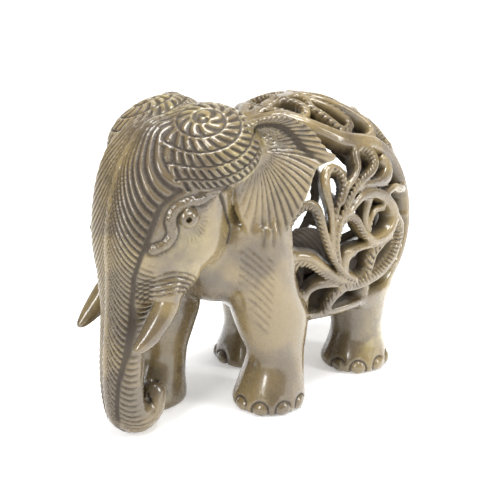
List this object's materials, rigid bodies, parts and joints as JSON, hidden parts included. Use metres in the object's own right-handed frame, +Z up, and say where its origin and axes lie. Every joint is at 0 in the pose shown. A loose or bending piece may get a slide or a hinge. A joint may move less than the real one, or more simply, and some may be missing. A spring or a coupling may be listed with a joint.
{
  "type": "carved elephant statue",
  "caption": "Small walking elephant carved in mottled soapstone, with a hollow barrel pierced by leafy vines and a calf standing inside it, all in the same block.",
  "frame": {"origin": "centre of the bounding box, on the surface the feet stand on", "axes": "+Z up, the elephant walks towards -X with its left side towards -Y, +X along its length towards the tail"},
  "size_m": [0.1303, 0.0612, 0.0992],
  "materials": {
    "soapstone": "polished"
  },
  "bodies": {
    "root": {"elephant": "soapstone"}
  },
  "joints": []
}
